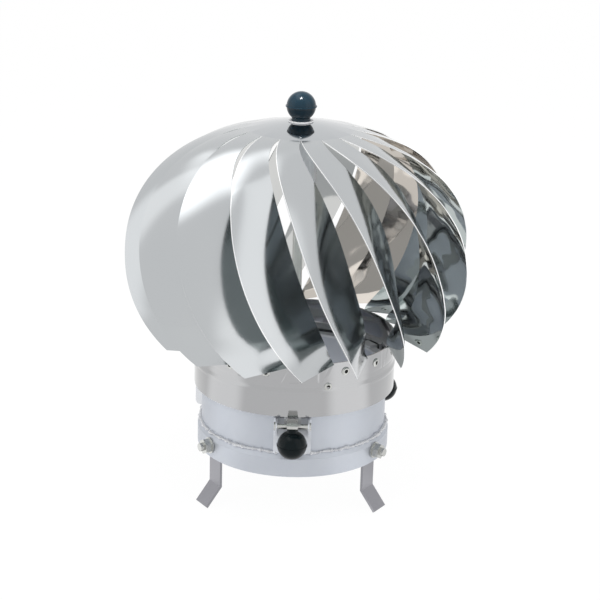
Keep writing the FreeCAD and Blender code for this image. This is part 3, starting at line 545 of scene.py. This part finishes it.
def dome_height(radius):
    """Height of the crown above the slot ends, which carries the slope of the vanes on to the middle."""
    return DOME_RISE * (1 - (radius / SLOT_END_RADIUS) ** DOME_POWER)


def build_crown():
    """The middle of the pressing: a shallow dome that ends in the straight roots of the vanes."""
    points, faces = [], []
    rings, spokes = 20, VANE_COUNT * 16
    for sheet in (0.0, SHEET):
        for ring in range(rings + 1):
            for spoke in range(spokes):
                turn = 360 * spoke / spokes
                within = math.radians((turn % PITCH) - PITCH / 2)
                rim = SLOT_END_RADIUS * math.cos(math.radians(PITCH / 2)) / math.cos(within)
                part = ring / rings
                radius = CROWN_EYE + (rim - CROWN_EYE) * part
                smooth = dome_height(radius) - dome_height(rim) * part ** DOME_RIM_POWER
                height = (SLOT_HEIGHT - BASE) / MM + smooth - sheet
                points.append(polar(radius, turn + VANE_START, height) * MM + Vector((0, 0, BASE)))
    layer = (rings + 1) * spokes
    for ring in range(rings):
        for spoke in range(spokes):
            a = ring * spokes + spoke
            b = ring * spokes + (spoke + 1) % spokes
            faces.append((a, a + spokes, b + spokes, b))
            faces.append((a + layer, b + layer, b + spokes + layer, a + spokes + layer))
    for ring in (0, rings):
        for spoke in range(spokes):
            a = ring * spokes + spoke
            b = ring * spokes + (spoke + 1) % spokes
            side = (a, b, b + layer, a + layer)
            faces.append(side if ring == 0 else side[::-1])
    place(mesh_piece("crown_dome", points, faces, [CROWN_FACE_PAINTED_SHADE]), "rotor", "head_sheet", "crown")


def raised(outline):
    """An outline in millimetres above the foot of the tube, in metres."""
    return [(radius * MM, BASE + height * MM) for radius, height in outline]


def build_ring():
    """The skirt, the rolled bead that joins it to the ring, and the ring."""
    outline = rounded([
        (SKIRT_RADIUS - SHEET, SKIRT_LOW, 0.3), (SKIRT_RADIUS, SKIRT_LOW, 0.3),
        (SKIRT_RADIUS, SHOULDER_LOW - BEAD_START, 1.0), (SKIRT_RADIUS + BEAD, SHOULDER_LOW - BEAD_FULL, 1.2),
        (SKIRT_RADIUS + BEAD, SHOULDER_LOW, 1.4), (RING_RADIUS, SHOULDER_HIGH + 0.6, 2.0),
        (RING_RADIUS, EAR_TOP, 0.3), (RING_RADIUS - SHEET, EAR_TOP, 0.3),
        (RING_RADIUS - SHEET, SHOULDER_HIGH, 1.0), (SKIRT_RADIUS - SHEET, SHOULDER_LOW, 1.0),
    ])
    place(lathe("lower_ring_sheet", raised(outline), RING_FACE), "rotor", "head_sheet", "lower_ring")


def build_washer():
    low = (SLOT_HEIGHT - BASE) / MM + dome_height(WASHER_RADIUS)
    outline = rounded([
        (NECK_RADIUS, low, 0.2), (WASHER_RADIUS, low, 0.4),
        (WASHER_RADIUS, low + WASHER_HEIGHT, 0.7), (NECK_RADIUS, low + WASHER_HEIGHT, 0.2),
    ])
    place(lathe("crown_washer_ring", raised(outline), WHITE_PLASTIC, 96), "rotor", "washer", "crown_washer")


def build_top_knob():
    """The ball with its moulding line round the middle, on a neck with a collar at its foot."""
    centre = TOP_BALL / MM - BASE / MM - BALL_RADIUS
    foot = (SLOT_HEIGHT - BASE) / MM + DOME_RISE - NECK_SINK
    half = math.asin(SEAM_HALF / BALL_RADIUS)
    steps = 28
    upper = [(math.pi / 2 - half) * step / steps for step in range(steps + 1)]
    last = math.pi - math.asin(NECK_RADIUS / BALL_RADIUS)
    lower = [math.pi / 2 + half + (last - math.pi / 2 - half) * step / steps for step in range(steps + 1)]
    outline = [(BALL_RADIUS * math.sin(angle) + AXIS_GAP, centre + BALL_RADIUS * math.cos(angle))
               for angle in upper]
    outline += [(BALL_RADIUS + SEAM_PROUD * part, centre + rise) for part, rise in SEAM_EDGE]
    outline += [(BALL_RADIUS * math.sin(angle), centre + BALL_RADIUS * math.cos(angle)) for angle in lower]
    collar = NECK_RADIUS + COLLAR_PROUD
    outline += [(NECK_RADIUS, foot + COLLAR_HIGH), (collar, foot + COLLAR_LOW)]
    outline += [(collar, foot), (AXIS_GAP, foot)]
    place(lathe("top_ball", raised(outline), BLUE_BLACK_PLASTIC, 96, False), "rotor", "knob", "top_knob")


def build_rivets(name, node, places, head_radius, head_height, hole_radius):
    """Blind rivets: a low domed flange on the sheet round the open end of a hollow shank, whose shallow hole
    is painted near-black as shade.
    """
    outline = [(head_radius, 0.0), (head_radius, head_height * 0.3), (head_radius * 0.8, head_height * 0.75),
               (head_radius * 0.55, head_height), (hole_radius * 1.15, head_height * 0.95),
               (hole_radius, head_height * 0.7), (hole_radius, 0.1), (AXIS_GAP, 0.1)]
    steps = 24
    points, faces, indices = [], [], []
    for azimuth, height, foot in places:
        out = polar(1, azimuth, 0)
        side = Vector((-out.y, out.x, 0))
        start = len(points)
        for step in range(steps):
            angle = 2 * math.pi * step / steps
            around = side * math.cos(angle) + Vector((0, 0, 1)) * math.sin(angle)
            points += [polar(foot + rise, azimuth, height) * MM + around * radius * MM + Vector((0, 0, BASE))
                       for radius, rise in outline]
        rows = len(outline)
        for step in range(steps):
            here, there = start + step * rows, start + (step + 1) % steps * rows
            for row in range(rows - 1):
                faces.append((here + row, here + row + 1, there + row + 1, there + row))
                # the hole rows get the painted-shade material
                indices.append(1 if row >= rows - 2 else 0)
    place(mesh_piece(name, points, faces, [ZINC, HOLE_PAINTED_SHADE], indices), "rotor", "fastener", node)


def build_weld():
    """The uneven bead that joins the band's shoulder to the tube."""
    points, faces = [], []
    steps, ring = 720, 8
    for step in range(steps):
        azimuth = 360 * step / steps
        spot = polar(3.0, azimuth, 0)
        broad = 0.7 * noise.noise(spot * 5)
        lumps = 0.9 * noise.noise(spot * 13 + Vector((9, 0, 0)))
        size = WELD_SIZE * (1 + broad + lumps)
        drift = WELD_DRIFT * noise.noise(spot * 3 + Vector((0, 0, 4)))
        for corner in range(ring):
            angle = 2 * math.pi * corner / ring
            radius = TUBE_RADIUS + size * 0.35 + size * math.cos(angle) * 0.8
            height = BAND_TOP + drift + size * 0.1 + size * math.sin(angle) * 0.55
            points.append(polar(radius, azimuth, height) * MM + Vector((0, 0, BASE)))
    for step in range(steps):
        for corner in range(ring):
            a = step * ring + corner
            b = step * ring + (corner + 1) % ring
            c = (step + 1) % steps * ring
            faces.append((a, c + corner, c + (corner + 1) % ring, b))
    place(mesh_piece("base_weld", points, faces, [WELD_STEEL_PAINTED_GLINTS]), "base", "base_sheet")


def build_head():
    for number in range(1, VANE_COUNT + 1):
        build_vane(number)
    build_crown()
    build_ring()
    build_washer()
    build_top_knob()
    vane_places = [(VANE_START + EAR_LEAD + PITCH * index, RIVET_HEIGHT, RING_RADIUS + EAR_PROUD)
                   for index in range(VANE_COUNT)]
    build_rivets("vane_rivet_heads", "vane_rivets", vane_places, RIVET_FLANGE, RIVET_RISE, RIVET_HOLE)
    ring_places = [(SKIRT_RIVET + 360 / SKIRT_RIVET_COUNT * index, SKIRT_RIVET_HEIGHT, RING_RADIUS)
                   for index in range(SKIRT_RIVET_COUNT)]
    build_rivets("skirt_rivet_heads", "skirt_rivets", ring_places, SKIRT_RIVET_FLANGE, RIVET_RISE, RIVET_HOLE)


# Camera, light and floor

CAMERA_PLACE = Vector((0.0038, -1.6, BASE + 0.6824))
CAMERA_PITCH = 0.323162
CAMERA_ROLL = 0.0276174
CAMERA_LENS = 103.36
CAMERA_SENSOR = 36.0


def make_camera():
    data = bpy.data.cameras.new("camera")
    data.lens = CAMERA_LENS
    data.sensor_width = CAMERA_SENSOR
    camera = bpy.data.objects.new("camera", data)
    forward = Vector((0, math.cos(CAMERA_PITCH), -math.sin(CAMERA_PITCH)))
    level_up = Vector((0, math.sin(CAMERA_PITCH), math.cos(CAMERA_PITCH)))
    level_right = Vector((1, 0, 0))
    right = level_right * math.cos(CAMERA_ROLL) + level_up * math.sin(CAMERA_ROLL)
    up = level_up * math.cos(CAMERA_ROLL) - level_right * math.sin(CAMERA_ROLL)
    turn = Matrix((right, up, -forward)).transposed().to_4x4()
    camera.matrix_world = Matrix.Translation(CAMERA_PLACE) @ turn
    bpy.context.scene.collection.objects.link(camera)
    bpy.context.scene.camera = camera


def seen_directly(tree):
    """1 for what the camera, a reflection or a clear piece shows, 0 for light that falls on a surface."""
    path = add(tree, "ShaderNodeLightPath")
    first = add(tree, "ShaderNodeMath", {"operation": "MAXIMUM"})
    tree.links.new(path.outputs["Is Camera Ray"], first.inputs[0])
    tree.links.new(path.outputs["Is Glossy Ray"], first.inputs[1])
    second = add(tree, "ShaderNodeMath", {"operation": "MAXIMUM"})
    tree.links.new(first.outputs[0], second.inputs[0])
    tree.links.new(path.outputs["Is Transmission Ray"], second.inputs[1])
    return path, second.outputs[0]


def math_node(tree, operation, *values):
    node = add(tree, "ShaderNodeMath", {"operation": operation})
    for socket, item in zip(node.inputs, values):
        if isinstance(item, bpy.types.NodeSocket):
            tree.links.new(item, socket)
        else:
            socket.default_value = item
    return node.outputs[0]


# Strength of the world where it lights surfaces. It is 1 where it is seen.
FILL_LEVEL = 0.6

# Each card: azimuth in degrees and added strength. The reach is the cosine at its edge and where it is full.
CARDS = ((-78, 0.40), (60, 0.42))
CARD_REACH = (0.866, 0.975)

# The panel: added strength, then centre, half size and fade on a level plane at height 1, across and along.
PANEL_GAIN = 1.25
PANEL_CENTRE = (-0.36, 0.05)
PANEL_HALF = (0.10, 0.45)
PANEL_FADE = (0.34, 0.45)
LOWEST_RISE = 0.05


def overhead_panel(tree):
    """How much of a long soft panel, hung high on the left and running front to back, a direction meets."""
    coords = add(tree, "ShaderNodeTexCoord").outputs["Generated"]
    parts = add(tree, "ShaderNodeSeparateXYZ", Vector=coords)
    height = math_node(tree, "MAXIMUM", parts.outputs["Z"], LOWEST_RISE)
    share = None
    for axis, centre, half, fade in zip("XY", PANEL_CENTRE, PANEL_HALF, PANEL_FADE):
        reach = math_node(tree, "DIVIDE", parts.outputs[axis], height)
        away = math_node(tree, "ABSOLUTE", math_node(tree, "SUBTRACT", reach, centre))
        node = add(tree, "ShaderNodeMapRange", {"interpolation_type": "SMOOTHSTEP"}, Value=away)
        node.inputs["From Min"].default_value = half
        node.inputs["From Max"].default_value = half + fade
        node.inputs["To Min"].default_value = 1.0
        node.inputs["To Max"].default_value = 0.0
        inside = node.outputs["Result"]
        share = inside if share is None else math_node(tree, "MULTIPLY", share, inside)
    return share


def eased(tree, source, start, end):
    node = add(tree, "ShaderNodeMapRange", {"interpolation_type": "SMOOTHSTEP"}, Value=source)
    node.inputs["From Min"].default_value = start
    node.inputs["From Max"].default_value = end
    return node.outputs["Result"]


def card_light(tree, vector):
    """Extra light from a pale card at the far left and one at the right."""
    flat = add(tree, "ShaderNodeVectorMath", {"operation": "MULTIPLY"})
    tree.links.new(vector, flat.inputs[0])
    flat.inputs[1].default_value = (1.0, 1.0, 0.0)
    level = add(tree, "ShaderNodeVectorMath", {"operation": "NORMALIZE"})
    tree.links.new(flat.outputs[0], level.inputs[0])
    total = 0.0
    for azimuth, gain in CARDS:
        facing = add(tree, "ShaderNodeVectorMath", {"operation": "DOT_PRODUCT"})
        tree.links.new(level.outputs[0], facing.inputs[0])
        facing.inputs[1].default_value = polar(1, azimuth, 0)
        share = eased(tree, facing.outputs["Value"], *CARD_REACH)
        total = math_node(tree, "MULTIPLY_ADD", share, gain, total)
    return total


def make_world():
    world = bpy.data.worlds.new("studio")
    world.use_nodes = True
    bpy.context.scene.world = world
    tree = world.node_tree
    background = tree.nodes["Background"]
    path, seen = seen_directly(tree)
    panel = overhead_panel(tree)
    coords = add(tree, "ShaderNodeTexCoord").outputs["Generated"]
    bright = math_node(tree, "MULTIPLY_ADD", panel, PANEL_GAIN, card_light(tree, coords))
    shown = math_node(tree, "MULTIPLY", path.outputs["Is Glossy Ray"], bright)
    plain = math_node(tree, "MULTIPLY_ADD", seen, 1.0 - FILL_LEVEL, FILL_LEVEL)
    background.inputs["Color"].default_value = (1.0, 1.0, 1.0, 1.0)
    tree.links.new(math_node(tree, "ADD", plain, shown), background.inputs["Strength"])


FLOOR_HALF = 6.0
FLOOR_GLOW = 1.02
FLOOR_GLOW_SHARE = 0.95


def make_floor():
    corners = [(-FLOOR_HALF, -FLOOR_HALF, 0), (FLOOR_HALF, -FLOOR_HALF, 0),
               (FLOOR_HALF, FLOOR_HALF, 0), (-FLOOR_HALF, FLOOR_HALF, 0)]
    made, tree, shader = material("floor")
    shader.inputs["Base Color"].default_value = (0.9, 0.9, 0.9, 1.0)
    shader.inputs["Roughness"].default_value = 0.9
    path, seen = seen_directly(tree)
    # Painted light: where metal reflects the floor, it glows brighter towards the two cards.
    painted_card_glow = math_node(tree, "MULTIPLY", card_light(tree, object_coords(tree)), path.outputs["Is Glossy Ray"])
    level = math_node(tree, "ADD", painted_card_glow, FLOOR_GLOW)
    glow = add(tree, "ShaderNodeEmission", Color=(1.0, 1.0, 1.0, 1.0), Strength=level)
    share = add(tree, "ShaderNodeMath", {"operation": "MULTIPLY"})
    tree.links.new(seen, share.inputs[0])
    share.inputs[1].default_value = FLOOR_GLOW_SHARE
    mix = add(tree, "ShaderNodeMixShader")
    tree.links.new(share.outputs[0], mix.inputs[0])
    tree.links.new(shader.outputs[0], mix.inputs[1])
    tree.links.new(glow.outputs[0], mix.inputs[2])
    tree.links.new(mix.outputs[0], tree.nodes["Material Output"].inputs["Surface"])
    floor = mesh_piece("floor", corners, [(0, 1, 2, 3)], [made])


def softbox(name, place_at, target, width, height, power):
    data = bpy.data.lights.new(name, "AREA")
    data.shape = "RECTANGLE"
    data.size = width
    data.size_y = height
    data.energy = power
    lamp = bpy.data.objects.new(name, data)
    lamp.location = place_at
    lamp.visible_glossy = False
    lamp.rotation_mode = "QUATERNION"
    lamp.rotation_quaternion = (Vector(target) - Vector(place_at)).to_track_quat("-Z", "Y")
    bpy.context.scene.collection.objects.link(lamp)
    return lamp


HEAD_CENTRE = (0.0, 0.0, 0.24)
BALLS = ("top_ball", "latch_knob_front", "latch_knob_side")

# Each lamp: name, place, width, height and power in watts
LAMPS = (
    ("softbox_left", (-1.1, -0.9, 1.1), 0.55, 0.75, 5.0),
    ("softbox_right", (1.3, -0.8, 0.9), 0.5, 0.7, 2.0),
    ("softbox_top", (0.0, -0.5, 1.7), 0.8, 0.5, 14.0),
)
BALL_LAMP = ("ball_light", (-0.05, -0.35, 1.6), 0.26, 0.26, 16.0)


def make_lights():
    """Three soft lamps for everything, and a small one that lights the balls alone and shows in them."""
    for name, spot, width, height, power in LAMPS:
        softbox(name, spot, HEAD_CENTRE, width, height, power)
    name, spot, width, height, power = BALL_LAMP
    lamp = softbox(name, spot, HEAD_CENTRE, width, height, power)
    lamp.visible_glossy = True
    lit = bpy.data.collections.new("balls")
    for name in BALLS:
        lit.objects.link(bpy.data.objects[name])
    lamp.light_linking.receiver_collection = lit


paint_nodes()
build_head()
build_weld()
make_camera()
make_world()
make_floor()
make_lights()

bpy.context.scene.view_settings.view_transform = "Standard"
